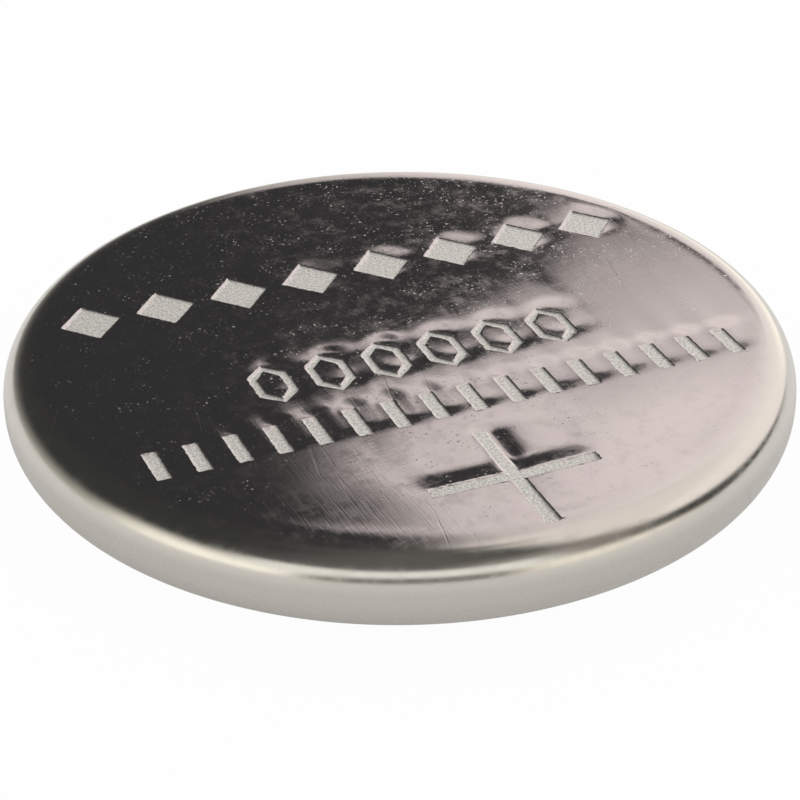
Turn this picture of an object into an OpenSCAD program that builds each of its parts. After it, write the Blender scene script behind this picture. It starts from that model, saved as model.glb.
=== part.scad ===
// Lithium coin cell, 16 mm across and 2 mm high, lying with its positive face up.
// The origin is the centre of the negative contact face, and +Z points to the positive face.
// Every piece is a revolved section. The crimp that closes the cell is drawn as three nested
// bends about one centre: the can outside, the gasket between and the cap inside.

/* [Cell] */
// Outside diameter of the cell
cell_d = 16; // [13:0.1:20]
// Height from the negative contact face to the positive face
cell_h = 2; // [1.6:0.05:3.2]
// Clearance left between pieces that are pressed together
seat_gap = 0.02; // [0.01:0.005:0.04]

/* [Positive can] */
// Sheet thickness of the can
can_t = 0.22; // [0.15:0.01:0.3]
// Inside radius of the drawn corner between the positive face and the wall
rim_in_r = 0.38; // [0.3:0.01:0.5]
// Height of the crimped edge above the negative contact face
crimp_rise = 0.2; // [0.1:0.01:0.3]
// Length of the straight lip that the crimp ends in
lip_w = 0.25; // [0.1:0.01:0.4]
// Least height of straight wall between the rim and the crimp, which limits the crimp's bends
wall_min = 0.1; // [0.05:0.01:0.12]

/* [Negative cap] */
// Sheet thickness of the cap
cap_t = 0.2; // [0.15:0.01:0.25]
// Inside radius of the bend from the cap's shoulder to its skirt
skirt_bend_r = 0.22; // [0.1:0.01:0.3]
// Inside radius of the bend round the contact face
contact_bend_r = 0.1; // [0.05:0.01:0.15]
// Inside radius of the bend from the riser to the shoulder
shoulder_bend_r = 0.1; // [0.05:0.01:0.15]
// Open groove between the gasket's edge and the cap's riser
groove_w = 0.25; // [0.1:0.01:0.5]

/* [Sealing gasket] */
// Wall thickness of the moulded gasket
gasket_t = 0.22; // [0.15:0.01:0.28]
// Width of gasket that shows past the can's lip
gasket_show = 0.15; // [0.05:0.01:0.3]
// Depth of the channel that the cap's skirt stands in
channel_h = 0.2; // [0.1:0.01:0.3]

/* [Inside] */
// Thickness of the lithium disc
anode_t = 0.4; // [0.3:0.01:0.5]
// Room left round the lithium disc
anode_margin = 0.35; // [0.1:0.01:0.6]
// Thickness of the separator felt
felt_t = 0.1; // [0.05:0.01:0.15]
// Inside radius of the separator's turned-up edge
felt_bend_r = 0.08; // [0.05:0.01:0.12]
// Height of the separator's turned-up edge
felt_h = 0.4; // [0.25:0.01:0.55]
// Sheet thickness of the ring round the cathode pellet
ring_t = 0.12; // [0.08:0.01:0.16]
// Height of the ring
ring_h = 0.5; // [0.3:0.01:0.6]
// Width of the ring's foot against the can
ring_foot_w = 0.5; // [0.2:0.01:0.8]

/* [Stamped marks] */
// Depth of the marks in the positive face
mark_depth = 0.05; // [0.02:0.005:0.08]
// Length of the polarity cross's arms, end to end
cross_l = 3.4; // [2:0.1:4.2]
// Stroke of the polarity cross
cross_stroke = 0.3; // [0.2:0.01:0.5]
// Room between the marks and the round of the rim
edge_margin = 0.1; // [0.05:0.01:0.3]
// Height of the upright ticks
tick_h = 1; // [0.6:0.05:1.3]
// Width of a tick
tick_w = 0.3; // [0.2:0.01:0.4]
// Pitch of the ticks
tick_pitch = 0.8; // [0.6:0.05:1.2]
// Height of the outlined hexagons
hex_h = 1.5; // [1:0.05:1.9]
// Width of a hexagon
hex_w = 0.95; // [0.8:0.01:1.05]
// Stroke of the hexagons
hex_stroke = 0.2; // [0.1:0.01:0.3]
// Pitch of the hexagons
hex_pitch = 1.2; // [1.1:0.05:1.6]
// Number of hexagons
hex_count = 6; // [3:1:8]
// Height of the bold lozenges
lozenge_h = 1.4; // [0.8:0.05:1.8]
// Width of a lozenge
lozenge_w = 1.25; // [0.8:0.05:1.4]
// Pitch of the lozenges
lozenge_pitch = 1.6; // [1.5:0.05:2.2]
// Space between the cross and the row of ticks
tick_space = 0.65; // [0.3:0.05:1]
// Space between the ticks and the hexagons
hex_space = 0.7; // [0.3:0.05:1]
// Space between the hexagons and the lozenges
lozenge_space = 2.3; // [0.5:0.05:2.8]

/* [Hidden] */
$fn = 96;

// The can: its rim, its wall and the centre that the three nested bends share.
cell_r = cell_d / 2;
rim_r = rim_in_r + can_t;
rim_r_at = cell_r - rim_r;
rim_z_at = cell_h - rim_r;
sheets_t = cap_t + seat_gap + gasket_t + seat_gap + can_t;
bend_room = cell_h - crimp_rise - sheets_t - wall_min - rim_r;
bend_r = min(skirt_bend_r, bend_room);
crimp_r = bend_r + sheets_t;
crimp_r_at = cell_r - crimp_r;
crimp_z_at = crimp_rise + crimp_r;
lip_end_r = crimp_r_at - lip_w;

// The gasket: a shell of one thickness inside the can, open to the middle of the cell.
gasket_end_r = lip_end_r - gasket_show;
stack_top_z = cell_h - can_t - seat_gap;
foot_under_z = stack_top_z - gasket_t;

// The cap: contact face, riser, shoulder and skirt.
riser_r = gasket_end_r - groove_w;
shoulder_z = crimp_z_at - bend_r - cap_t;
skirt_in_r = crimp_r_at + bend_r;
skirt_r = skirt_in_r + cap_t;
skirt_end_z = foot_under_z - seat_gap;
channel_in_r = skirt_in_r - seat_gap - gasket_t;

// The stack inside, from the cap up to the can.
riser_in_r = riser_r - cap_t;
anode_z = cap_t + seat_gap;
felt_z = anode_z + anode_t + seat_gap;
felt_top_z = felt_z + felt_h;
felt_r = riser_in_r - seat_gap;
ring_r = felt_r - felt_t - seat_gap;
pellet_r = ring_r - ring_t - seat_gap;
pellet_z = felt_z + felt_t + seat_gap;

// The marks, stacked from the rim upwards.
mark_reach = rim_r_at - edge_margin;
cross_y = cross_l / 2 - mark_reach;
tick_y = cross_y + cross_l / 2 + tick_space + tick_h / 2;
hex_y = tick_y + tick_h / 2 + hex_space + hex_h / 2;
lozenge_y = hex_y + hex_h / 2 + lozenge_space + lozenge_h / 2;
// What a cut takes beyond the surface that it opens.
overcut = 0.1;

// Half the length of the chord that clears the rim from here to the far side of a row.
function half_chord(y, h) = sqrt(max(0, pow(mark_reach, 2) - pow(abs(y) + h / 2, 2)));

// How many marks of width w fit a row at height y.
function row_count(y, h, w, pitch) = max(1, 1 + floor((2 * half_chord(y, h) - w) / pitch));

// Corners of a polygon drawn in a box of w by h, the first at the angle turn.
function corners(n, w, h, turn) =
    [for (i = [0 : n - 1]) [w / 2 * cos(turn + i * 360 / n), h / 2 * sin(turn + i * 360 / n)]];

// A rectangle of the section, from one corner to the other.
module strip(from, to) {
    translate(from)
        square([to[0] - from[0], to[1] - from[1]]);
}

// Half the section of a round well with a rounded lower edge, drawn in from its floor and its
// wall by inset. A sheet's section is a well less the same well drawn in by the sheet.
module well(r, low_z, high_z, edge_r, inset = 0) {
    at_r = r - edge_r;
    at_z = low_z + edge_r;
    strip([0, low_z + inset], [at_r, high_z]);
    strip([0, at_z], [r - inset, high_z]);
    intersection() {
        translate([at_r, at_z])
            circle(r = edge_r - inset);
        strip([0, low_z], [r, high_z]);
    }
}

// The can's outline, with the crimp's bend below and the rim's above.
module can_outline(inset) {
    well(cell_r, crimp_rise, rim_z_at, crimp_r, inset);
    translate([0, cell_h])
        mirror([0, 1])
            well(cell_r, 0, cell_h - crimp_z_at, rim_r, inset);
}

// The cap's outline: the contact's well, the wider well over it and the fillet that joins them.
module cap_outline(high_z, inset = 0) {
    fillet_at = [riser_r + shoulder_bend_r, shoulder_z - shoulder_bend_r];
    well(riser_r, 0, high_z, contact_bend_r + cap_t, inset);
    well(skirt_r, shoulder_z, high_z, bend_r + cap_t, inset);
    difference() {
        strip([0, fillet_at[1]], [fillet_at[0], shoulder_z + cap_t]);
        translate(fillet_at)
            circle(r = shoulder_bend_r + inset);
    }
}

// Places a row of marks along X, centred on the face.
module row(y, count, pitch) {
    for (i = [0 : count - 1])
        translate([(i - (count - 1) / 2) * pitch, y])
            children();
}

module polarity_cross() {
    translate([0, cross_y]) {
        square([cross_l, cross_stroke], center = true);
        square([cross_stroke, cross_l], center = true);
    }
}

module hexagon_outline() {
    difference() {
        polygon(corners(6, hex_w, hex_h, 90));
        polygon(corners(6, hex_w - 2 * hex_stroke, hex_h - 2 * hex_stroke, 90));
    }
}

module marks() {
    polarity_cross();
    row(tick_y, row_count(tick_y, tick_h, tick_w, tick_pitch), tick_pitch)
        square([tick_w, tick_h], center = true);
    row(hex_y, hex_count, hex_pitch)
        hexagon_outline();
    row(lozenge_y, row_count(lozenge_y, lozenge_h, lozenge_w, lozenge_pitch), lozenge_pitch)
        polygon(corners(4, lozenge_w, lozenge_h, 0));
}

// Drawn cup of plated steel sheet: the positive face, the wall, and the edge crimped under.
module positive_can() {
    color([0.71, 0.69, 0.66])
        difference() {
            rotate_extrude()
                difference() {
                    can_outline(0);
                    can_outline(can_t);
                    strip([0, 0], [lip_end_r, crimp_z_at]);
                }
            translate([0, 0, cell_h - mark_depth])
                linear_extrude(mark_depth + overcut)
                    marks();
        }
}

// Moulded ring that insulates the cap from the can and is squeezed by the crimp.
module sealing_gasket() {
    color([0.92, 0.92, 0.88])
        rotate_extrude() {
            difference() {
                can_outline(can_t + seat_gap);
                can_outline(can_t + seat_gap + gasket_t);
                strip([0, 0], [gasket_end_r, cell_h]);
                strip([0, crimp_z_at], [channel_in_r, cell_h]);
                strip([skirt_in_r - seat_gap, crimp_z_at], [skirt_r + seat_gap, foot_under_z]);
            }
            strip([channel_in_r, foot_under_z - channel_h], [skirt_in_r - seat_gap, stack_top_z]);
        }
}

// Pressed lid of steel sheet: the negative contact face, a riser, a shoulder and a skirt.
module negative_cap() {
    color([0.75, 0.74, 0.72])
        rotate_extrude()
            difference() {
                cap_outline(skirt_end_z);
                cap_outline(skirt_end_z + overcut, cap_t);
            }
}

// Punched disc of lithium, pressed onto the cap.
module lithium_anode() {
    color([0.78, 0.78, 0.8])
        translate([0, 0, anode_z])
            cylinder(r = riser_in_r - anode_margin, h = anode_t);
}

// Shallow dish of felt between the lithium and the cathode.
module separator() {
    color([0.95, 0.95, 0.93])
        rotate_extrude()
            difference() {
                well(felt_r, felt_z, felt_top_z, felt_bend_r + felt_t);
                well(felt_r, felt_z, felt_top_z + overcut, felt_bend_r + felt_t, felt_t);
            }
}

// Pressed pellet of manganese dioxide, rebated round the top for the ring's foot and rounded
// below to sit in the separator's bend.
module cathode_pellet() {
    color([0.13, 0.13, 0.13])
        rotate_extrude() {
            well(pellet_r, pellet_z, stack_top_z - ring_t - seat_gap, felt_bend_r);
            strip([0, pellet_z], [pellet_r - ring_foot_w, stack_top_z]);
        }
}

// Ring of steel sheet, bent to an L, that holds the pellet and carries its current to the can.
module cathode_ring() {
    color([0.62, 0.62, 0.62])
        rotate_extrude() {
            strip([ring_r - ring_t, stack_top_z - ring_h], [ring_r, stack_top_z]);
            strip([pellet_r - ring_foot_w + seat_gap, stack_top_z - ring_t], [ring_r, stack_top_z]);
        }
}

positive_can();
sealing_gasket();
negative_cap();
lithium_anode();
separator();
cathode_pellet();
cathode_ring();
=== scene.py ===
"""A lithium coin cell: crimped can with stamped marks, gasket and cap, on a white table."""

import math
import random

import bmesh
import bpy
import numpy as np
from mathutils import Matrix, Vector, noise
from mathutils.geometry import delaunay_2d_cdt


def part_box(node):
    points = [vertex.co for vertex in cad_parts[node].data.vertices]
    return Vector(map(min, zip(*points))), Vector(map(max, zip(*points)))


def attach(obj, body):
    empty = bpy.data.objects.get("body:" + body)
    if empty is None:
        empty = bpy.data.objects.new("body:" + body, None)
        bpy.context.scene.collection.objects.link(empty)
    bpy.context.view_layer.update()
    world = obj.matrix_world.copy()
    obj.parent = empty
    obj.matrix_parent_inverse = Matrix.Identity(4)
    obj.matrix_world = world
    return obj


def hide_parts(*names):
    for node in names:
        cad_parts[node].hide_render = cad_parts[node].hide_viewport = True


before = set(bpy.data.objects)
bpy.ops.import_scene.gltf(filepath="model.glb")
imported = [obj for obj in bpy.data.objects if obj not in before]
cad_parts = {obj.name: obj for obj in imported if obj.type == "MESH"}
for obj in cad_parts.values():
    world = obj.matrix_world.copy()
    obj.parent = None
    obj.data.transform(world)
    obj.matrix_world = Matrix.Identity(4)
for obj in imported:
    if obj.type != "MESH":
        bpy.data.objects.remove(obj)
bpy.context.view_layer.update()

MM = 0.001

# Main sizes in millimetres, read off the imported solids.
can_low, can_high = (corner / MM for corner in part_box("positive_can"))
cap_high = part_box("negative_cap")[1] / MM
gasket_low, gasket_high = (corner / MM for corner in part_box("sealing_gasket"))
CELL_R = can_high.x
CELL_H = can_high.z
CRIMP_RISE = can_low.z
SKIRT_R = cap_high.x
SKIRT_TOP = cap_high.z

# Sheets and moulding, in millimetres, and the gap between seated pieces.
SEAT_GAP = 0.02
CAN_T = 0.22
RIM_R = 0.6
RIM_W, RIM_H = 0.58, 0.78
CRIMP_R = 0.9
LIP_END_R = 6.85
CAP_T = 0.2
SHOULDER_Z = 0.68
RISER_R = 6.45
CONTACT_BEND_R = 0.3
SHOULDER_BEND_R = 0.1
SKIRT_BEND_R = 0.42
GASKET_T = 0.22
GASKET_END_R = 6.7
GASKET_END_ROUND = 0.07
CHANNEL_H = 0.2
BURR_R = 0.04

# The positive face: where its flat ends, how it rolls off to the rim, and its marks.
FACE_R = CELL_R - RIM_W
ROLL_START_R = 7.1
ROLL_SLOPE = math.radians(5)
ROLL_DROP = (FACE_R - ROLL_START_R) * math.tan(ROLL_SLOPE) / 2
MARK_REACH = 7.3
MARK_DEPTH = 0.05
CROSS_L = 3.4
CROSS_STROKE = 0.3
TICK_H, TICK_W, TICK_PITCH = 1.0, 0.3, 0.8
HEX_H, HEX_W, HEX_STROKE, HEX_PITCH, HEX_COUNT = 1.5, 0.95, 0.2, 1.2, 6
LOZENGE_H, LOZENGE_W, LOZENGE_PITCH = 1.4, 1.25, 1.6
TICK_SPACE, HEX_SPACE, LOZENGE_SPACE = 0.65, 0.7, 2.3

# How far the stamping draws the sheet down beside the strokes of the marks, before this is
# blurred and spread out, and the grid on which that is done.
UPRIGHT_DISH = 0.1
LEVEL_DISH = 0.25
ROW_DISH = 0.026
DISH_GRID = 1024

# How far in the side of a mark slopes, how far wear moves its edge, and the wear's frequency.
STAMP_RUN = 0.045
STAMP_WEAR = 0.014
WEAR_FREQUENCY = 9

# The sheet's slow waves. Their greatest rise is taken off, so that none stands proud, and
# they fade out at the edge of the face.
WAVE_SEED = 7
WAVE_COUNT = 14
WAVE_LENGTHS = (1.6, 6.0)
WAVE_SLOPES = (0.03, 0.1)
WAVE_TOP = 0.0051
FLAT_FADE = 0.6

# Steps round the axis, and spacings of the face's mesh.
STEPS_ROUND = 512
ARC_STEP = math.radians(6)
EDGE_SPACING = 0.045
NEAR_SPACING = 0.085
FAR_SPACING = 0.17
NEAR_REACH = 0.6
EDGE_OFFSETS = (0.09, 0.05, 0.022, 0.0, -0.015, -0.03, -STAMP_RUN, -0.075)
EDGE_RINGS = 4
CORNER_POINTS = 16
ON_CONTOUR = 1e-4
POINTS_AT_ONCE = 4000

# What counts as one point when a mesh is closed, in metres, and as a real edge.
WELD_DISTANCE = 1.5e-6
REAL_EDGE = math.radians(40)

# The photograph's camera, turned to the object's own axes.
CAMERA_AZIMUTH = -22.2
CAMERA_ELEVATION = 31.274
CAMERA_DISTANCE = 50
CAMERA_ROLL = -0.438
CAMERA_TARGET = (-0.336, -0.823, 1.0)
CAMERA_LENS = 111.9
CAMERA_SENSOR = 36

# The table's radius in metres, how far it lies below the cell, and the share of its own glow
# that the camera and the metal see.
TABLE_R = 1.0
TABLE_DROP = 0.01
TABLE_PAINT = (0.74, 0.73, 0.72, 1)
TABLE_SEEN = 0.97
TABLE_MIRRORED = 0.3

# The light of the world, and the dark room in the dome above the panels.
WORLD_LEVEL = 0.9
DOME_R = 3000
DOME_STEP = 1
DARK_ROOM = (0.045, 0.047, 0.048)

# The big panel, as pairs of elevation and azimuth, of elevation and softness of its left
# edge, and of elevation and tone.
PANEL_LEFT = (
    (0, -7), (20, -6), (24, -3), (25, 1), (26, 4.6), (28, 4.3), (29, 4.7), (30, 2.6), (31, 0.8),
    (31.7, -0.6), (32.4, -3.4), (33, -2.0), (33.6, -0.4), (34.5, 0.0), (38, 1.6), (42, 2.4),
    (54, 4.6), (66, 9), (76, 22))
PANEL_SOFTNESS = (
    (20, 4), (24, 2), (27, 0.9), (30, 1.1), (32, 2.2), (33.5, 3), (36, 3.6), (54, 6), (76, 12))
PANEL_RIGHT = ((0, 40), (6, 58), (12, 76), (24, 102), (36, 118), (48, 124), (60, 122), (72, 112))
PANEL_LEFT_TONE = ((27, 0.62), (30, 0.68), (32, 0.80), (34, 0.88))
PANEL_RIGHT_TONE = 1.1
PANEL_FADE = ((35, 1), (46, 0.86))
PANEL_TOP = 76

# The pale wall low on the left, as pairs of azimuth and top, and of azimuth and tone.
PALE_WALL_TOP = ((-110, 34), (-84, 28), (-36, 20), (-12, 24))
PALE_WALL_TONE = ((-110, 0.62), (-60, 0.58), (-36, 0.40), (-12, 0.34))

# The lit wall on the right, as pairs of azimuth and top.
LIT_WALL_TOP = ((84, -2), (100, 4), (120, 13), (150, 20))

# Pairs of colours that each finish varies between.
FACE_TINTS = (0.60, 0.55, 0.535, 1), (0.64, 0.58, 0.57, 1)
RIM_TINTS = (0.70, 0.665, 0.60, 1), (0.72, 0.685, 0.625, 1)
# The wall's pair is darker than the rim's: painted shade, for the shaded floor that the wall
# reflects.
SHADED_WALL_TINTS = (0.58, 0.55, 0.508, 1), (0.60, 0.57, 0.526, 1)
CRUSHED_TINTS = (0.46, 0.44, 0.405, 1), (0.86, 0.83, 0.775, 1)
CAP_TINTS = (0.64, 0.615, 0.58, 1), (0.69, 0.67, 0.64, 1)
GASKET_TINTS = (0.80, 0.80, 0.75, 1), (0.88, 0.88, 0.85, 1)
LITHIUM_TINTS = (0.58, 0.58, 0.62, 1), (0.76, 0.76, 0.78, 1)
FELT_TINTS = (0.76, 0.76, 0.73, 1), (0.93, 0.93, 0.91, 1)
POWDER_TINTS = (0.018, 0.018, 0.019, 1), (0.12, 0.12, 0.125, 1)
STAINLESS_TINTS = (0.5, 0.5, 0.5, 1), (0.6, 0.6, 0.59, 1)


class Wire:
    """A value in a material's tree. Arithmetic on wires adds Math nodes."""

    def __init__(self, finish, socket):
        self.finish = finish
        self.socket = socket

    def __add__(self, other):
        return self.finish.maths("ADD", self, other)

    def __radd__(self, other):
        return self.finish.maths("ADD", other, self)

    def __sub__(self, other):
        return self.finish.maths("SUBTRACT", self, other)

    def __rsub__(self, other):
        return self.finish.maths("SUBTRACT", other, self)

    def __mul__(self, other):
        return self.finish.maths("MULTIPLY", self, other)

    def __rmul__(self, other):
        return self.finish.maths("MULTIPLY", other, self)


class Finish:
    """A material, or the world, while its nodes are being added."""

    def __init__(self, owner):
        self.owner = owner
        owner.use_nodes = True
        self.tree = owner.node_tree
        self.tree.nodes.clear()

    def add(self, kind, settings=None, inputs=None, out=0):
        """Adds one node: its settings first, then its sockets' values or wires."""
        node = self.tree.nodes.new("ShaderNode" + kind)
        for name, value in (settings or {}).items():
            setattr(node, name, value)
        for key, value in (inputs or {}).items():
            if isinstance(value, Wire):
                self.tree.links.new(value.socket, node.inputs[key])
            else:
                node.inputs[key].default_value = value
        return Wire(self, node.outputs[out])

    def maths(self, operation, a, b):
        return self.add("Math", {"operation": operation}, {0: a, 1: b})

    def mix(self, factor, a, b):
        """A colour between a and b."""
        return self.add("Mix", {"data_type": "RGBA"}, {0: factor, 6: a, 7: b}, out=2)

    def ramp(self, value, start, end):
        """0 up to start, 1 from end on, and a smooth step between."""
        return self.add("MapRange", {"interpolation_type": "SMOOTHSTEP"}, {
            "Value": value, "From Min": start, "From Max": end, "To Min": 0.0, "To Max": 1.0})

    def place(self):
        """Object coordinates in millimetres."""
        coordinates = self.add("TexCoord", out="Object")
        return self.add("VectorMath", {"operation": "SCALE"}, {0: coordinates, "Scale": 1 / MM})

    def turned(self, place, angle=0.0, stretch=(1, 1, 1)):
        """The place stretched, and then turned about the cell's axis."""
        return self.add("Mapping", {"vector_type": "POINT"}, {
            "Vector": place, "Rotation": (0, 0, angle), "Scale": stretch})

    def noise(self, place, scale, detail=2.0, roughness=0.5):
        inputs = {"Vector": place, "Scale": scale, "Detail": detail, "Roughness": roughness}
        return self.add("TexNoise", {"noise_dimensions": "3D"}, inputs)

    def radius(self, place):
        """Distance from the cell's axis."""
        flat = self.add("VectorMath", {"operation": "MULTIPLY"}, {0: place, 1: (1, 1, 0)})
        return self.add("VectorMath", {"operation": "LENGTH"}, {0: flat}, out="Value")

    def height(self, place):
        return self.add("SeparateXYZ", inputs={0: place}, out="Z")

    def ray_kinds(self):
        """1 on what the camera sees itself, and 1 on what it sees by way of metal."""
        path = self.tree.nodes.new("ShaderNodeLightPath").outputs
        mirrored = Wire(self, path["Is Glossy Ray"]) + Wire(self, path["Is Transmission Ray"])
        return Wire(self, path["Is Camera Ray"]), mirrored

    def end_in(self, shader):
        """Ends the tree in a shader."""
        kind = "OutputWorld" if isinstance(self.owner, bpy.types.World) else "OutputMaterial"
        node = self.tree.nodes.new("ShaderNode" + kind)
        self.tree.links.new(shader.socket, node.inputs["Surface"])
        return self.owner

    def surface(self, sockets, bump=None):
        """Ends the material in a Principled shader. A bump is a height in millimetres."""
        if bump is not None:
            sockets["Normal"] = self.add("Bump", inputs={"Height": bump, "Distance": MM})
        return self.end_in(self.add("BsdfPrincipled", inputs=sockets))


def new_finish(name):
    return Finish(bpy.data.materials.new(name))


def scratches(finish, place, angle, spacing, length, none, full):
    """Fine parallel scratches at an angle in degrees: noise drawn out along them, 0 where it is
    below none and 1 where it is above full."""
    turned = finish.turned(place, -math.radians(angle))
    drawn_out = finish.turned(turned, 0.0, (1 / length, 1 / spacing, 1))
    return finish.ramp(finish.noise(drawn_out, 1.0), none, full)


def can_nickel():
    """Bright nickel on the face, satin with painted shade on the wall, and grainy matte floors in
    the marks.
    """
    finish = new_finish("can_nickel")
    place = finish.place()
    radius = finish.radius(place)
    stamped = finish.add("Attribute", {"attribute_name": "stamped"}, out="Fac")
    rim = finish.ramp(radius, FACE_R - 0.25, FACE_R + 0.25)
    # The wall below the rim: satin, and given a darker tint as painted shade.
    low_wall_satin_and_shade = 1 - finish.ramp(finish.height(place), CELL_H - RIM_H, CELL_H - RIM_H / 2)
    mottle = finish.noise(place, 0.9, detail=3.0, roughness=0.6)
    grain = finish.noise(place, 14.0, detail=3.0, roughness=0.6)
    # Matte dust: grains in loose groups, denser towards +X and +Y, and smaller specks all over.
    denser = finish.add("VectorMath", {"operation": "DOT_PRODUCT"},
                        {0: place, 1: (0.008, 0.01, 0)}, out="Value")
    groups = finish.ramp(finish.noise(place, 1.6) + denser, 0.44, 0.68)
    grains = finish.ramp(finish.noise(place, 13.0, detail=1.0), 0.64, 0.76) * groups
    specks = finish.ramp(finish.noise(place, 19.0, detail=1.0), 0.70, 0.80)
    flat = 1 - rim
    dust = flat * (grains * 0.6 + specks * (groups * 0.2 + 0.36))
    # Fine rolling lines crossed by fine wiping lines, and a few longer cuts.
    rolling = scratches(finish, place, 8, 0.05, 0.7, 0.45, 0.75)
    wiping = scratches(finish, place, 93, 0.05, 1.0, 0.48, 0.78)
    cuts = scratches(finish, place, 80, 0.09, 6.0, 0.67, 0.74)
    # Crushed metal in the floors of the marks. The dust looks like it.
    crumbs = finish.noise(place, 18.0, detail=3.0, roughness=0.8)
    matte = finish.maths("MAXIMUM", stamped, dust)
    bump = (grain * 0.00018 + flat * grains * 0.0009
            - flat * (rolling * 0.00008 + wiping * 0.00015 + cuts * 0.0003)
            + stamped * crumbs * 0.012)
    # The wall's tint is darker than the rim's: painted shade, standing in for the shaded floor it
    # reflects.
    outer_tint = finish.mix(
        low_wall_satin_and_shade, finish.mix(mottle, *RIM_TINTS), finish.mix(mottle, *SHADED_WALL_TINTS))
    bright_tint = finish.mix(rim, finish.mix(mottle, *FACE_TINTS), outer_tint)
    crushed_tint = finish.mix(finish.ramp(crumbs, 0.34, 0.62), *CRUSHED_TINTS)
    tint = finish.mix(matte, bright_tint, crushed_tint)
    smudge = finish.ramp(finish.noise(place, 2.6, detail=5.0, roughness=0.7), 0.42, 0.7)
    roughness = (0.05 + smudge * 0.08 + (rolling + wiping) * 0.02 + rim * 0.12
                 + low_wall_satin_and_shade * 0.08 + matte * 0.36)
    return finish.surface({
        "Base Color": tint, "Metallic": 1 - matte * 0.6, "Roughness": roughness}, bump)


def cap_nickel():
    """Satin nickel with a fine turned grain on the contact face."""
    finish = new_finish("cap_nickel")
    place = finish.place()
    mottle = finish.noise(place, 0.7, detail=3.0, roughness=0.6)
    rings = finish.add("TexNoise", {"noise_dimensions": "1D"}, {
        "W": finish.radius(place), "Scale": 16.0, "Detail": 4.0, "Roughness": 0.65})
    grain = finish.noise(place, 16.0, detail=3.0)
    cuts = scratches(finish, place, 35, 0.08, 4.0, 0.64, 0.74)
    bump = rings * 0.0011 + grain * 0.0005 - cuts * 0.0008
    return finish.surface({
        "Base Color": finish.mix(mottle, *CAP_TINTS), "Metallic": 1.0,
        "Roughness": 0.22 + mottle * 0.1 + rings * 0.06}, bump)


def gasket_plastic():
    """Natural polypropylene, slightly clouded, with a fine grain."""
    finish = new_finish("gasket_plastic")
    place = finish.place()
    clouds = finish.noise(place, 0.8, detail=3.0, roughness=0.6)
    grain = finish.noise(place, 9.0, detail=3.0)
    return finish.surface({
        "Base Color": finish.mix(clouds, *GASKET_TINTS), "Roughness": 0.38 + grain * 0.18,
        "Subsurface Weight": 0.15, "Subsurface Scale": 0.0004}, grain * 0.002)


def lithium_metal():
    """Soft dull metal with a skin rolled along X."""
    finish = new_finish("lithium_metal")
    place = finish.place()
    rolled = finish.noise(finish.turned(place, 0.3, (0.3, 6.0, 1)), 1.0, detail=4.0)
    blots = finish.noise(place, 1.4, detail=4.0, roughness=0.65)
    return finish.surface({
        "Base Color": finish.mix(blots, *LITHIUM_TINTS), "Metallic": 1.0,
        "Roughness": 0.4 + blots * 0.2}, rolled * 0.002)


def felt_fibres():
    """White felt: two sets of fine fibres, drawn out along X."""
    finish = new_finish("felt_fibres")
    place = finish.place()
    sets = [finish.noise(finish.turned(place, angle, (2.0, 24.0, 8.0)), 1.0, detail=3.0)
            for angle in (0.5, 2.1)]
    fibres = finish.maths("MAXIMUM", *sets)
    return finish.surface(
        {"Base Color": finish.mix(fibres, *FELT_TINTS), "Roughness": 0.9}, fibres * 0.02)


def cathode_powder():
    """Pressed black powder with a few paler grains."""
    finish = new_finish("cathode_powder")
    place = finish.place()
    grains = finish.noise(place, 18.0, detail=4.0, roughness=0.7)
    pale = finish.ramp(finish.noise(place, 9.0), 0.62, 0.75)
    return finish.surface({
        "Base Color": finish.mix(pale, *POWDER_TINTS), "Roughness": 0.75 + grains * 0.15},
        grains * 0.012)


def ring_stainless():
    """Plain stainless sheet with a fine grain round it."""
    finish = new_finish("ring_stainless")
    place = finish.place()
    drawn = finish.noise(finish.turned(place, 0.0, (1.0, 1.0, 30.0)), 1.0, detail=3.0)
    mottle = finish.noise(place, 1.2, detail=3.0)
    return finish.surface({
        "Base Color": finish.mix(mottle, *STAINLESS_TINTS), "Metallic": 1.0,
        "Roughness": 0.25 + drawn * 0.15}, drawn * 0.001)


def fillet(before, corner, after, radius):
    """Points of the arc that rounds a corner of a section."""
    corner = Vector(corner)
    into = (Vector(before) - corner).normalized()
    out = (Vector(after) - corner).normalized()
    half = into.angle(out) / 2
    centre = corner + (into + out).normalized() * radius / math.sin(half)
    start = corner + into * radius / math.tan(half) - centre
    turn = math.pi - 2 * half
    side = 1 if into.x * out.y - into.y * out.x < 0 else -1
    steps = max(2, round(turn / ARC_STEP))
    points = []
    for i in range(steps + 1):
        angle = side * turn * i / steps
        cos, sin = math.cos(angle), math.sin(angle)
        points.append((centre.x + start.x * cos - start.y * sin,
                       centre.y + start.x * sin + start.y * cos))
    return points


def rounded(corners, closed=False):
    """A section from its corners, given as (radius from the axis, height, fillet)."""
    count = len(corners)
    points = []
    for i, (r, z, bend) in enumerate(corners):
        if bend:
            before = corners[(i - 1) % count][:2]
            after = corners[(i + 1) % count][:2]
            points += fillet(before, (r, z), after, bend)
        else:
            points.append((r, z))
    if closed:
        points.append(points[0])
    return points


def tree_input(tree, name, kind, value=None):
    socket = tree.interface.new_socket(name, in_out="INPUT", socket_type="NodeSocket" + kind)
    if value is not None:
        socket.default_value = value
    return socket


def tree_node(tree, kind, settings=None, inputs=None):
    """Adds one node of a modifier's tree: its settings first, then its sockets."""
    node = tree.nodes.new(kind)
    for name, value in (settings or {}).items():
        setattr(node, name, value)
    for key, value in (inputs or {}).items():
        if isinstance(value, bpy.types.NodeSocket):
            tree.links.new(value, node.inputs[key])
        else:
            node.inputs[key].default_value = value
    return node


def tree_maths(tree, operation, a, b=0.0):
    return tree_node(tree, "ShaderNodeMath", {"operation": operation}, {0: a, 1: b}).outputs[0]


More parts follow.
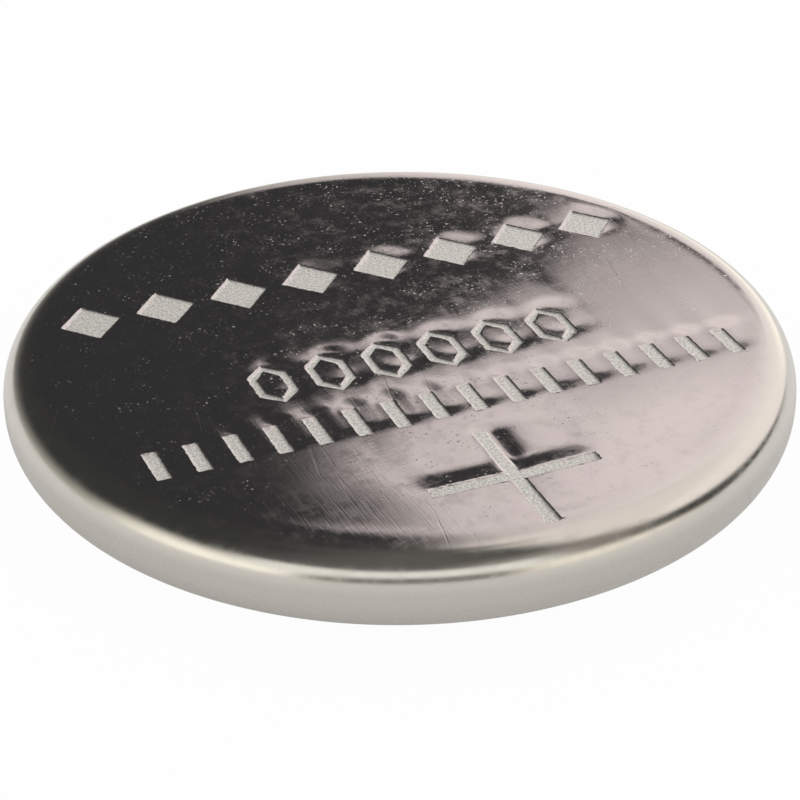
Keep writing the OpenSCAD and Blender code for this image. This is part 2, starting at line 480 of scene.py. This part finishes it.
def end_tree(tree, geometry, material):
    """Every tree ends in Realize Instances and Set Material."""
    real = tree_node(tree, "GeometryNodeRealizeInstances", None, {"Geometry": geometry})
    dressed = tree_node(tree, "GeometryNodeSetMaterial", None, {
        "Geometry": real.outputs[0], "Material": material})
    tree.interface.new_socket("Geometry", in_out="OUTPUT", socket_type="NodeSocketGeometry")
    exit_node = tree.nodes.new("NodeGroupOutput")
    tree.links.new(dressed.outputs[0], exit_node.inputs[0])


def turning_tree():
    """Turns a section, given as points in the XZ plane, about the Z axis."""
    tree = bpy.data.node_groups.new("turned_sheet", "GeometryNodeTree")
    tree_input(tree, "Section", "Geometry")
    tree_input(tree, "Section points", "Int", 4)
    tree_input(tree, "Steps round", "Int", 64)
    tree_input(tree, "Merge distance", "Float", 1e-6)
    tree_input(tree, "Material", "Material")
    given = tree.nodes.new("NodeGroupInput").outputs
    points, steps = given["Section points"], given["Steps round"]
    grid = tree_node(tree, "GeometryNodeMeshGrid", None, {
        "Vertices X": tree_maths(tree, "ADD", steps, 1.0), "Vertices Y": points})
    index = tree_node(tree, "GeometryNodeInputIndex").outputs[0]
    column = tree_maths(tree, "FLOOR", tree_maths(tree, "DIVIDE", index, points))
    along = tree_maths(tree, "SUBTRACT", index, tree_maths(tree, "MULTIPLY", column, points))
    angle = tree_maths(tree, "DIVIDE", tree_maths(tree, "MULTIPLY", column, math.tau), steps)
    position = tree_node(tree, "GeometryNodeInputPosition").outputs[0]
    sample = tree_node(tree, "GeometryNodeSampleIndex", {"data_type": "FLOAT_VECTOR"}, {
        "Geometry": given["Section"], "Value": position, "Index": along})
    split = tree_node(tree, "ShaderNodeSeparateXYZ", None, {0: sample.outputs[0]})
    placed = tree_node(tree, "ShaderNodeCombineXYZ", None, {
        "X": tree_maths(tree, "MULTIPLY", split.outputs["X"], tree_maths(tree, "COSINE", angle)),
        "Y": tree_maths(tree, "MULTIPLY", split.outputs["X"], tree_maths(tree, "SINE", angle)),
        "Z": split.outputs["Z"]})
    turned = tree_node(tree, "GeometryNodeSetPosition", None, {
        "Geometry": grid.outputs["Mesh"], "Position": placed.outputs[0]})
    merged = tree_node(tree, "GeometryNodeMergeByDistance", None, {
        "Geometry": turned.outputs[0], "Distance": given["Merge distance"]})
    end_tree(tree, merged.outputs[0], given["Material"])
    return tree


def stamp_row_tree():
    """A row of polygons along X: one outline, copied at an even pitch."""
    tree = bpy.data.node_groups.new("stamp_row", "GeometryNodeTree")
    tree_input(tree, "Sides", "Int", 4)
    tree_input(tree, "Turn", "Float", 0.0)
    tree_input(tree, "Width", "Float", 1.0)
    tree_input(tree, "Height", "Float", 1.0)
    tree_input(tree, "Count", "Int", 1)
    tree_input(tree, "Pitch", "Float", 1.0)
    tree_input(tree, "Row height", "Float", 0.0)
    tree_input(tree, "Material", "Material")
    given = tree.nodes.new("NodeGroupInput").outputs
    outline = tree_node(tree, "GeometryNodeMeshCircle", {"fill_type": "NONE"}, {
        "Vertices": given["Sides"], "Radius": 0.5})
    turn = tree_node(tree, "ShaderNodeCombineXYZ", None, {"Z": given["Turn"]})
    turned = tree_node(tree, "GeometryNodeTransform", None, {
        "Geometry": outline.outputs[0], "Rotation": turn.outputs[0]})
    size = tree_node(tree, "ShaderNodeCombineXYZ", None, {
        "X": given["Width"], "Y": given["Height"], "Z": 1.0})
    sized = tree_node(tree, "GeometryNodeTransform", None, {
        "Geometry": turned.outputs[0], "Scale": size.outputs[0]})
    reach = tree_maths(tree, "MULTIPLY", given["Pitch"],
                       tree_maths(tree, "SUBTRACT", given["Count"], 1.0))
    start = tree_node(tree, "ShaderNodeCombineXYZ", None, {
        "X": tree_maths(tree, "MULTIPLY", reach, -0.5), "Y": given["Row height"]})
    step = tree_node(tree, "ShaderNodeCombineXYZ", None, {"X": given["Pitch"]})
    line = tree_node(tree, "GeometryNodeMeshLine", {"mode": "OFFSET"}, {
        "Count": given["Count"], "Start Location": start.outputs[0], "Offset": step.outputs[0]})
    copies = tree_node(tree, "GeometryNodeInstanceOnPoints", None, {
        "Points": line.outputs[0], "Instance": sized.outputs[0]})
    end_tree(tree, copies.outputs[0], given["Material"])
    return tree


def grown(name, tree, values, points=()):
    """A plain mesh from a tree: its inputs are set before the object is first evaluated."""
    mesh = bpy.data.meshes.new(name + "_start")
    mesh.from_pydata(points, [], [])
    start = bpy.data.objects.new(name + "_start", mesh)
    modifier = start.modifiers.new("grown", "NODES")
    modifier.node_group = tree
    for socket in tree.interface.items_tree:
        if socket.in_out == "INPUT" and socket.name in values:
            modifier[socket.identifier] = values[socket.name]
    bpy.context.scene.collection.objects.link(start)
    graph = bpy.context.evaluated_depsgraph_get()
    made = bpy.data.meshes.new_from_object(start.evaluated_get(graph))
    start.modifiers.clear()
    bpy.data.objects.remove(start)
    made.name = name
    return made


def turned_mesh(name, section, material):
    """The mesh of a section, in millimetres, turned about the cell's axis."""
    points = [(r * MM, 0, z * MM) for r, z in section]
    return grown(name, trees["turned"], {
        "Section points": len(points), "Steps round": STEPS_ROUND, "Material": material}, points)


def half_chord(y, height):
    """How far to each side of the middle a mark of this height fits on the face."""
    return math.sqrt(max(0.0, MARK_REACH ** 2 - (abs(y) + height / 2) ** 2))


def row_count(y, height, width, pitch):
    """How many marks fit a row at height y on the round face."""
    return max(1, 1 + math.floor((2 * half_chord(y, height) - width) / pitch))


def stamp_row(name, sides, turn, width, height, count, pitch, y):
    """The outlines of a row of marks, one array of corners for each."""
    mesh = grown(name, trees["stamps"], {
        "Sides": sides, "Turn": turn, "Width": width, "Height": height,
        "Count": count, "Pitch": pitch, "Row height": y})
    corners = np.array([v.co[:2] for v in mesh.vertices]).reshape(count, sides, 2)
    bpy.data.meshes.remove(mesh)
    return list(corners)


def cross_outline(centre_y):
    """The twelve corners of the polarity cross."""
    long, short = CROSS_L / 2, CROSS_STROKE / 2
    quarter = [(long, -short), (long, short), (short, short)]
    corners = []
    for turn in range(4):
        for x, y in quarter:
            for _ in range(turn):
                x, y = -y, x
            corners.append((x, y + centre_y))
    return np.array(corners)


def mark_outlines():
    """All marks, stacked from the rim upwards as on the solid."""
    cross_y = CROSS_L / 2 - MARK_REACH
    tick_y = cross_y + CROSS_L / 2 + TICK_SPACE + TICK_H / 2
    hex_y = tick_y + TICK_H / 2 + HEX_SPACE + HEX_H / 2
    lozenge_y = hex_y + HEX_H / 2 + LOZENGE_SPACE + LOZENGE_H / 2
    square = math.sqrt(2)
    ticks = row_count(tick_y, TICK_H, TICK_W, TICK_PITCH)
    lozenges = row_count(lozenge_y, LOZENGE_H, LOZENGE_W, LOZENGE_PITCH)
    return (
        [cross_outline(cross_y)]
        + stamp_row("ticks", 4, math.pi / 4, TICK_W * square, TICK_H * square,
                    ticks, TICK_PITCH, tick_y)
        + stamp_row("hexagons", 6, math.pi / 2, HEX_W, HEX_H, HEX_COUNT, HEX_PITCH, hex_y)
        + stamp_row("hexagon_holes", 6, math.pi / 2, HEX_W - 2 * HEX_STROKE,
                    HEX_H - 2 * HEX_STROKE, HEX_COUNT, HEX_PITCH, hex_y)
        + stamp_row("lozenges", 4, 0.0, LOZENGE_W, LOZENGE_H, lozenges, LOZENGE_PITCH, lozenge_y))


class Marks:
    """Distances from the stamped marks' outlines."""

    def __init__(self, outlines):
        self.outlines = outlines
        self.starts = np.concatenate(outlines)
        self.ends = np.concatenate([np.roll(o, -1, axis=0) for o in outlines])

    def measure(self, points):
        """Distance of each point from the nearest outline, below 0 in a mark."""
        along = self.ends - self.starts
        length_sq = (along ** 2).sum(1)
        rise = np.where(along[:, 1] == 0, 1, along[:, 1])
        signed = np.empty(len(points))
        for first in range(0, len(points), POINTS_AT_ONCE):
            part = points[first:first + POINTS_AT_ONCE]
            away = part[:, None, :] - self.starts[None]
            share = np.clip((away * along).sum(2) / length_sq, 0, 1)
            nearest = np.linalg.norm(away - share[..., None] * along, axis=2).min(1)
            y = part[:, 1:2]
            spans = (self.starts[:, 1] > y) != (self.ends[:, 1] > y)
            cut_x = self.starts[:, 0] + (y - self.starts[:, 1]) * along[:, 0] / rise
            inside = (spans & (part[:, :1] < cut_x)).sum(1) % 2 == 1
            signed[first:first + POINTS_AT_ONCE] = np.where(inside, -nearest, nearest)
        return signed

    def contour(self, offset):
        """Points at a signed offset from the outlines, evenly spaced along them."""
        found = []
        for start, end in zip(self.starts, self.ends):
            length = np.linalg.norm(end - start)
            steps = max(1, round(length / EDGE_SPACING))
            along = (end - start) / length
            normal = np.array([along[1], -along[0]]) * offset
            line = start + np.linspace(0, 1, steps + 1)[:, None] * (end - start)
            found += [line + normal, line - normal]
            turns = np.linspace(0, math.tau, CORNER_POINTS, endpoint=False)
            ring = np.stack([np.cos(turns), np.sin(turns)], 1) * abs(offset)
            found.append(start + ring)
        found = np.concatenate(found)
        return found[np.abs(self.measure(found) - offset) < ON_CONTOUR]


def smooth_step(value):
    """0 below 0, 1 above 1, and a smooth step between."""
    value = np.clip(value, 0, 1)
    return value * value * (3 - 2 * value)


def spread(points, outlines, blur, shift, trail):
    """Share of marked sheet near each point, blurred, shifted and trailing off to one side."""
    step = 2 * CELL_R / DISH_GRID
    line = (np.arange(DISH_GRID) + 0.5) * step - CELL_R
    marked = np.zeros((DISH_GRID, DISH_GRID), bool)
    for outline in outlines:
        for (x0, y0), (x1, y1) in zip(outline, np.roll(outline, -1, axis=0)):
            if y0 != y1:
                cut_x = x0 + (line - y0) * (x1 - x0) / (y1 - y0)
                marked ^= (line[:, None] < cut_x) & ((y0 > line) != (y1 > line))
    across = np.fft.fftfreq(DISH_GRID, step)[:, None] * math.tau
    up = across.T
    soft = np.exp(-(across ** 2 + up ** 2) * blur ** 2 / 2
                  - 1j * (across * shift[0] + up * shift[1]))
    soft /= 1 + 1j * (across * trail[0] + up * trail[1])
    area = np.fft.ifft2(np.fft.fft2(marked) * soft).real
    place = (points + CELL_R) / step - 0.5
    i, j = np.floor(place).astype(int).T
    u, v = (place - np.floor(place)).T
    low = area[i, j] * (1 - u) + area[i + 1, j] * u
    high = area[i, j + 1] * (1 - u) + area[i + 1, j + 1] * u
    return low * (1 - v) + high * v


def dished(points, outlines):
    """How far the sheet has sunk beside the marks: beyond the right side of upright strokes,
    and above level ones."""
    cross_y = CROSS_L / 2 - MARK_REACH
    short, long = CROSS_STROKE / 2, CROSS_L / 2
    box = np.array([(1, -1), (1, 1), (-1, 1), (-1, -1)])
    upright = [box * (short, long) + (0, cross_y)]
    level = [box * (long, short) + (0, cross_y)]
    rows = outlines[1:]
    # The cross's trough fades out towards the rim, and the rows' towards the far row.
    cross_fade = smooth_step((points[:, 1] + MARK_REACH) / 2.6)
    row_fade = 1 - 0.6 * smooth_step((points[:, 1] - 2.5) / 1.5)
    right_of_upright = spread(points, upright, blur=0.1, shift=(0, 0), trail=(0.4, 0))
    above_level = spread(points, level, blur=0.2, shift=(0, 0.35), trail=(0, 2.5))
    right_of_rows = spread(points, rows, blur=0.12, shift=(0.03, 0.2), trail=(0.3, 0))
    above_rows = spread(points, rows, blur=0.2, shift=(0, 0.3), trail=(0, 1.2))
    return (UPRIGHT_DISH * cross_fade * right_of_upright + LEVEL_DISH * above_level
            + ROW_DISH * row_fade * (right_of_rows + above_rows))


def waviness(points):
    """Slow waves that rolling leaves in the sheet, a few thousandths of a millimetre high."""
    draw = random.Random(WAVE_SEED)
    height = np.zeros(len(points))
    for _ in range(WAVE_COUNT):
        length = draw.uniform(*WAVE_LENGTHS)
        slope = math.radians(draw.uniform(*WAVE_SLOPES))
        heading = draw.uniform(0, math.pi)
        phase = draw.uniform(0, math.tau)
        across = points[:, 0] * math.cos(heading) + points[:, 1] * math.sin(heading)
        height += slope * length / math.tau * np.sin(math.tau * across / length + phase)
    return height


def face_heights(points, marks):
    """Height of the positive face and how far each point is in a mark's floor."""
    signed = marks.measure(points)
    radius = np.linalg.norm(points, axis=1)
    flat = smooth_step((FACE_R - radius) / FLAT_FADE)
    dish = -dished(points, marks.outlines)
    wear = [noise.noise(Vector((x * WEAR_FREQUENCY, y * WEAR_FREQUENCY, 0))) for x, y in points]
    floor = smooth_step((np.array(wear) * STAMP_WEAR - signed) / STAMP_RUN)
    stamped = (dish + MARK_DEPTH) * floor
    rolled = np.clip((radius - ROLL_START_R) / (FACE_R - ROLL_START_R), 0, 1) ** 2
    waves = waviness(points) - WAVE_TOP
    height = CELL_H + flat * (dish + waves) - stamped - ROLL_DROP * rolled
    return height, floor


def lattice(spacing):
    """Points of a triangular lattice over the face."""
    row_gap = spacing * math.sqrt(3) / 2
    rows = int(FACE_R / row_gap) + 1
    columns = int(FACE_R / spacing) + 1
    points = []
    for j in range(-rows, rows + 1):
        shift = spacing / 2 * (j % 2)
        points += [(i * spacing + shift, j * row_gap) for i in range(-columns, columns + 1)]
    return np.array(points)


def face_points(marks):
    """Points of the face's mesh: dense along the marks, and sparse far from them."""
    parts = [marks.contour(offset) for offset in EDGE_OFFSETS]
    near = lattice(NEAR_SPACING)
    signed = marks.measure(near)
    beside = (signed > EDGE_OFFSETS[0] + NEAR_SPACING / 2) & (signed < NEAR_REACH)
    within = signed < EDGE_OFFSETS[-1] - NEAR_SPACING / 2
    parts.append(near[beside | within])
    far = lattice(FAR_SPACING)
    signed = marks.measure(far)
    parts.append(far[signed >= NEAR_REACH])
    points = np.concatenate(parts)
    return points[np.linalg.norm(points, axis=1) < FACE_R - FAR_SPACING]


def edge_rings():
    """Rings of points where the face rolls off to the rim, the last on the rim's start."""
    turns = np.arange(STEPS_ROUND) * math.tau / STEPS_ROUND
    circle = np.stack([np.cos(turns), np.sin(turns)], 1)
    radii = np.linspace(FACE_R - FAR_SPACING, FACE_R, EDGE_RINGS)
    return np.concatenate([circle * r for r in radii[::-1]])


def face_mesh(marks):
    """Vertices, faces and floor shares of the stamped face."""
    rings = edge_rings()
    points = np.concatenate([rings, face_points(marks)])
    loop = [(i, (i + 1) % STEPS_ROUND) for i in range(STEPS_ROUND)]
    within_loop, same_point = 1, 1e-5
    made = delaunay_2d_cdt([Vector(p) for p in points], loop, [], within_loop, same_point)
    flat = np.array([v[:] for v in made[0]])
    height, floor = face_heights(flat, marks)
    return np.column_stack([flat, height]), made[2], floor


def rim_section():
    """The can's section from the edge of the face, over the rim and under the cell, and back
    inside to the axis. The rim is part of an ellipse and starts at the slope that the face
    has rolled to."""
    steps = round((math.pi / 2 - ROLL_SLOPE) / ARC_STEP) + 3
    start = math.atan(math.tan(ROLL_SLOPE) * RIM_W / RIM_H)
    width = RIM_W / (1 - math.sin(start))
    height = (RIM_H - ROLL_DROP) / math.cos(start)
    rim = []
    for i in range(steps + 1):
        lean = start + (math.pi / 2 - start) * i / steps
        rim.append((FACE_R + width * (math.sin(lean) - math.sin(start)),
                    CELL_H - RIM_H + height * math.cos(lean)))
    inner_r = CELL_R - CAN_T
    return rim + rounded([
        (CELL_R, CELL_H - RIM_H, 0),
        (CELL_R, CRIMP_RISE, CRIMP_R),
        (LIP_END_R, CRIMP_RISE, BURR_R),
        (LIP_END_R, CRIMP_RISE + CAN_T, BURR_R),
        (inner_r, CRIMP_RISE + CAN_T, CRIMP_R - CAN_T),
        (inner_r, CELL_H - CAN_T, RIM_R - CAN_T),
        (0, CELL_H - CAN_T, 0)])[1:]


def cap_section():
    """The lid's section, from the middle of the contact face round the skirt and back."""
    return rounded([
        (0, 0, 0),
        (RISER_R, 0, CONTACT_BEND_R),
        (RISER_R, SHOULDER_Z, SHOULDER_BEND_R),
        (SKIRT_R, SHOULDER_Z, SKIRT_BEND_R),
        (SKIRT_R, SKIRT_TOP, BURR_R),
        (SKIRT_R - CAP_T, SKIRT_TOP, BURR_R),
        (SKIRT_R - CAP_T, SHOULDER_Z + CAP_T, SKIRT_BEND_R - CAP_T),
        (RISER_R - CAP_T, SHOULDER_Z + CAP_T, SHOULDER_BEND_R + CAP_T),
        (RISER_R - CAP_T, CAP_T, CONTACT_BEND_R - CAP_T),
        (0, CAP_T, 0)])


def gasket_section():
    """The gasket's section: lip, outer wall, foot, and the channel for the cap's skirt."""
    outer_r, low, high = gasket_high.x, gasket_low.z, gasket_high.z
    inner_r = outer_r - GASKET_T
    foot_under = high - GASKET_T
    channel_in = SKIRT_R - CAP_T - SEAT_GAP
    bend = CRIMP_R - CAN_T - SEAT_GAP
    return rounded([
        (GASKET_END_R, low, GASKET_END_ROUND),
        (outer_r, low, bend),
        (outer_r, high, RIM_R - CAN_T - SEAT_GAP),
        (channel_in - GASKET_T, high, BURR_R),
        (channel_in - GASKET_T, foot_under - CHANNEL_H, BURR_R),
        (channel_in, foot_under - CHANNEL_H, BURR_R),
        (channel_in, foot_under, 0),
        (inner_r, foot_under, 0),
        (inner_r, low + GASKET_T, bend - GASKET_T),
        (GASKET_END_R, low + GASKET_T, GASKET_END_ROUND)], closed=True)


def finished(name, mesh, node):
    """An object at the origin, smooth but for real edges, that stands for a CAD node."""
    work = bmesh.new()
    work.from_mesh(mesh)
    bmesh.ops.remove_doubles(work, verts=work.verts, dist=WELD_DISTANCE)
    bmesh.ops.recalc_face_normals(work, faces=work.faces)
    work.to_mesh(mesh)
    work.free()
    mesh.polygons.foreach_set("use_smooth", [True] * len(mesh.polygons))
    mesh.set_sharp_from_angle(angle=REAL_EDGE)
    piece = bpy.data.objects.new(name, mesh)
    bpy.context.scene.collection.objects.link(piece)
    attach(piece, "root")
    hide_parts(node)
    return piece


def turned_piece(name, section, material, node):
    """A piece that is turned from its section all round."""
    return finished(name, turned_mesh(name, section, material), node)


def stamped_can(material):
    """The can: its stamped face, joined to the turned rim, wall and crimp."""
    shell = turned_mesh("can_shell", rim_section(), material)
    vertices, faces, floor = face_mesh(Marks(mark_outlines()))
    base = len(shell.vertices)
    all_vertices = [v.co[:] for v in shell.vertices] + (vertices * MM).tolist()
    all_faces = [tuple(p.vertices) for p in shell.polygons]
    all_faces += [tuple(base + i for i in face) for face in faces]
    mesh = bpy.data.meshes.new("stamped_can")
    mesh.from_pydata(all_vertices, [], all_faces)
    mesh.materials.append(material)
    stamped = mesh.attributes.new("stamped", "FLOAT", "POINT")
    stamped.data.foreach_set("value", [0.0] * base + floor.tolist())
    return finished("stamped_can", mesh, "positive_can")


def white_floor():
    """A round white table, with the light share that keeps it white behind the cell."""
    finish = new_finish("table_white")
    seen, mirrored = finish.ray_kinds()
    paint = finish.add("BsdfDiffuse", inputs={"Color": TABLE_PAINT})
    glow = finish.add("Emission", inputs={"Color": (1, 1, 1, 1), "Strength": 1.0})
    share = seen * TABLE_SEEN + mirrored * TABLE_MIRRORED
    material = finish.end_in(finish.add("MixShader", inputs={0: share, 1: paint, 2: glow}))
    mesh = bpy.data.meshes.new("table")
    work = bmesh.new()
    bmesh.ops.create_circle(work, cap_ends=True, segments=96, radius=TABLE_R)
    work.to_mesh(mesh)
    work.free()
    mesh.materials.append(material)
    table = bpy.data.objects.new("table", mesh)
    table.location.z = -TABLE_DROP * MM
    bpy.context.scene.collection.objects.link(table)


def white_world():
    """Even white light, and plain white where the camera or the metal sees it."""
    world = bpy.data.worlds.new("studio")
    bpy.context.scene.world = world
    finish = Finish(world)
    seen, mirrored = finish.ray_kinds()
    white = finish.maths("MINIMUM", seen + mirrored, 1.0)
    strength = WORLD_LEVEL + (1 - WORLD_LEVEL) * white
    finish.end_in(finish.add("Background", inputs={"Color": (1, 1, 1, 1), "Strength": strength}))


def between(value, low, high, soft):
    """1 between low and high, with edges as wide as soft."""
    return smooth_step((value - low) / soft + 0.5) * smooth_step((high - value) / soft + 0.5)


def read_off(pairs, value):
    """The second of a pair at a value of the first, in a straight line between pairs."""
    firsts, seconds = zip(*pairs)
    return np.interp(value, firsts, seconds)


def studio_light(azimuth, elevation):
    """The light that the metal sees from each direction, in degrees as the camera stands:
    azimuth 0 is straight away from it, 90 to its right, and 180 back towards it."""
    light = np.full((len(azimuth), 3), DARK_ROOM)
    behind = 180 - np.abs(azimuth)

    def lay(share, colour, tone=1.0):
        share = share[:, None]
        light[:] = light * (1 - share) + np.outer(tone * np.ones(len(azimuth)), colour) * share

    # The ceiling and the wall behind the camera, a little paler than the dark room.
    lay(smooth_step((elevation - 66) / 22), (0.10, 0.098, 0.096))
    share = smooth_step((70 - behind) / 60) * smooth_step((elevation - 20) / 20)
    lay(share, (0.13, 0.127, 0.125))
    # A pale wall low on the left, fading upwards.
    top = read_off(PALE_WALL_TOP, azimuth)
    share = between(azimuth, -118, -6, 10) * smooth_step((top - elevation) / 34)
    lay(share, (1.0, 1.01, 0.93), read_off(PALE_WALL_TONE, azimuth))
    # The big panel on the right. Its left edge is soft high up and slants across the face.
    left = read_off(PANEL_LEFT, elevation)
    soft = read_off(PANEL_SOFTNESS, elevation)
    right = read_off(PANEL_RIGHT, elevation)
    panel = smooth_step((azimuth - left) / soft + 0.5) * smooth_step((right - azimuth) / 22 + 0.5)
    panel *= smooth_step((PANEL_TOP - elevation) / 12 + 0.5)
    tone = read_off(PANEL_LEFT_TONE, elevation)
    tone = tone + (PANEL_RIGHT_TONE - tone) * smooth_step((azimuth - left) / 11)
    lay(panel, (1.0, 0.945, 0.935), tone * read_off(PANEL_FADE, elevation))
    # The dark gap under the panel, short of its right half.
    share = between(azimuth, 3, 13, 5) * between(elevation, 24.2, 27.1, 0.8)
    lay(0.94 * share, (0.10, 0.095, 0.09))
    # A lamp behind the panel's near edge, low down.
    share = between(azimuth, 12, 36, 16) * between(elevation, -20, 12, 16)
    lay(0.9 * share, (1.45, 1.40, 1.30))
    # A dim wall beyond the panel, and a lit one on the right.
    share = between(azimuth, 110, 158, 26) * between(elevation, 12, 44, 16)
    lay(share, (0.30, 0.28, 0.265))
    top = read_off(LIT_WALL_TOP, azimuth)
    share = between(azimuth, 92, 150, 20) * smooth_step((top - elevation) / 12 + 0.5)
    lay(share, (1.15, 1.09, 1.0))
    # The lamp on the left.
    share = between(azimuth, -162, -102, 34) * smooth_step((22 - elevation) / 26 + 0.5)
    lay(share, (1.34, 1.31, 1.22))
    # The strip of lit wall behind the camera, and the dark below it.
    share = smooth_step((42 - behind) / 20 + 0.5) * between(elevation, 13, 31, 10)
    lay(share, (1.05, 1.06, 1.04))
    share = smooth_step((26 - behind) / 12 + 0.5) * smooth_step((11 - elevation) / 10 + 0.5)
    lay(share, (0.21, 0.2, 0.185))
    return light


def studio_dome():
    """A dome that only the metal sees, toned by direction as the studio's walls and lamps."""
    turns = np.arange(-180, 180, DOME_STEP)
    rises = np.arange(0, 90 + DOME_STEP, DOME_STEP)
    azimuth, elevation = (grid.ravel() for grid in np.meshgrid(turns, rises, indexing="ij"))
    a = np.radians(azimuth - CAMERA_AZIMUTH)
    e = np.radians(elevation)
    radius = DOME_R * MM
    vertices = np.stack([np.sin(a) * np.cos(e), np.cos(a) * np.cos(e), np.sin(e)], 1) * radius
    columns, rows = len(turns), len(rises)
    faces = []
    for i in range(columns):
        here, there = i * rows, (i + 1) % columns * rows
        faces += [(here + j, here + j + 1, there + j + 1, there + j) for j in range(rows - 1)]
    mesh = bpy.data.meshes.new("studio_dome")
    mesh.from_pydata(vertices.tolist(), [], faces)
    tone = mesh.color_attributes.new("light", "FLOAT_COLOR", "POINT")
    light = studio_light(azimuth, elevation)
    tone.data.foreach_set("color", np.column_stack([light, np.ones(len(light))]).ravel())
    finish = new_finish("studio_walls")
    seen = finish.add("Attribute", {"attribute_name": "light"}, out="Color")
    mesh.materials.append(finish.end_in(finish.add("Emission", inputs={"Color": seen})))
    dome = bpy.data.objects.new("studio_dome", mesh)
    bpy.context.scene.collection.objects.link(dome)
    dome.visible_camera = False
    dome.visible_diffuse = False
    dome.visible_shadow = False
    dome.visible_transmission = False


def way_out(azimuth, elevation):
    """The direction away from the cell at an azimuth, 0 at its front, and an elevation."""
    a = math.radians(azimuth)
    e = math.radians(elevation)
    return Vector((math.sin(a) * math.cos(e), -math.cos(a) * math.cos(e), math.sin(e)))


def lamp(name, azimuth, elevation, distance, size, power):
    """A soft square lamp aimed at the cell, placed as the camera stands."""
    light = bpy.data.lights.new(name, "AREA")
    light.shape = "SQUARE"
    light.size = size * MM
    light.energy = power
    away = way_out(azimuth + CAMERA_AZIMUTH, elevation)
    holder = bpy.data.objects.new(name, light)
    holder.location = away * distance * MM
    holder.rotation_mode = "QUATERNION"
    holder.rotation_quaternion = away.to_track_quat("Z", "Y")
    holder.visible_glossy = False
    bpy.context.scene.collection.objects.link(holder)


def camera():
    """The photograph's camera."""
    back = way_out(CAMERA_AZIMUTH, CAMERA_ELEVATION)
    lens = bpy.data.cameras.new("camera")
    lens.sensor_width = CAMERA_SENSOR
    lens.lens = CAMERA_LENS
    lens.clip_start = 1 * MM
    lens.clip_end = 10
    holder = bpy.data.objects.new("camera", lens)
    bpy.context.scene.collection.objects.link(holder)
    place = (Vector(CAMERA_TARGET) + back * CAMERA_DISTANCE) * MM
    aim = back.to_track_quat("Z", "Y").to_matrix().to_4x4()
    roll = Matrix.Rotation(math.radians(CAMERA_ROLL), 4, "Z")
    holder.matrix_world = Matrix.Translation(place) @ aim @ roll
    bpy.context.scene.camera = holder


def dress(node, material):
    """Gives a CAD node its finish."""
    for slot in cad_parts[node].material_slots:
        slot.material = material


camera()
trees = {"turned": turning_tree(), "stamps": stamp_row_tree()}
stamped_can(can_nickel())
turned_piece("pressed_cap", cap_section(), cap_nickel(), "negative_cap")
turned_piece("moulded_gasket", gasket_section(), gasket_plastic(),
             "sealing_gasket")
dress("lithium_anode", lithium_metal())
dress("separator", felt_fibres())
dress("cathode_pellet", cathode_powder())
dress("cathode_ring", ring_stainless())
white_floor()
white_world()
studio_dome()
lamp("key_lamp", azimuth=55, elevation=52, distance=260, size=140, power=0.09)
bpy.context.scene.view_settings.view_transform = "Standard"
